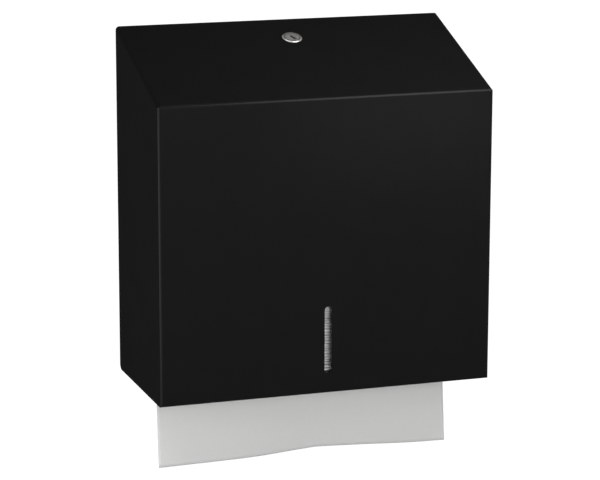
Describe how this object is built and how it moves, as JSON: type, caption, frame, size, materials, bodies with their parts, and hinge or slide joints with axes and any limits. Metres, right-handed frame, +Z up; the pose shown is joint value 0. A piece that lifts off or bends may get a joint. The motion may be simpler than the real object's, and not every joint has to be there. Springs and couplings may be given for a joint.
{
  "type": "folded towel dispenser",
  "caption": "Wall-hung metal dispenser for folded paper towels, with a sloping top, a lockable cover that swings forward, a narrow sight slot and a towel hanging from its mouth.",
  "frame": {"origin": "centre of the four wall-screw holes, on the wall plane", "axes": "+Z up, +Y into the wall, +X to the right as seen by someone who faces the dispenser"},
  "size_m": [0.272, 0.122, 0.3463],
  "materials": {
    "black_coat": "matte",
    "zinc_steel": "satin",
    "nickel": "polished",
    "brass": "satin",
    "rubber": "matte",
    "paper": "matte"
  },
  "bodies": {
    "base": {"back_plate": "black_coat", "bottom_tray": "black_coat", "towel_guide_left": "black_coat", "towel_guide_right": "black_coat", "strike_bracket": "zinc_steel", "buffers": "rubber", "hinge_leaf_tray": "zinc_steel", "hinge_pin": "zinc_steel", "hinge_rivets": "zinc_steel", "towel_stack": "paper"},
    "cover": {"cover_shell": "black_coat", "hinge_leaf_cover": "zinc_steel", "lock_housing": "nickel", "lock_washer": "zinc_steel", "lock_nut": "zinc_steel"},
    "lock": {"lock_plug": "nickel", "lock_wafers": "brass", "stop_plate": "zinc_steel", "lock_cam": "zinc_steel", "cam_washer": "zinc_steel", "cam_screw": "zinc_steel"},
    "towel": {"hanging_towel": "paper"}
  },
  "joints": [
    {"name": "cover_hinge", "type": "hinge", "parent": "base", "child": "cover", "pos_m": [0, -0.1177, -0.1347], "axis": [1, 0, 0], "range_deg": [0, 90]},
    {"name": "lock_turn", "type": "hinge", "parent": "cover", "child": "lock", "pos_m": [0, -0.03143, 0.12841], "axis": [0, -0.3461, 0.9382], "range_deg": [0, 90]},
    {"name": "towel_pull", "type": "slide", "parent": "base", "child": "towel", "axis": [0, -0.1045, -0.9945], "range_m": [0, 0.1]}
  ]
}
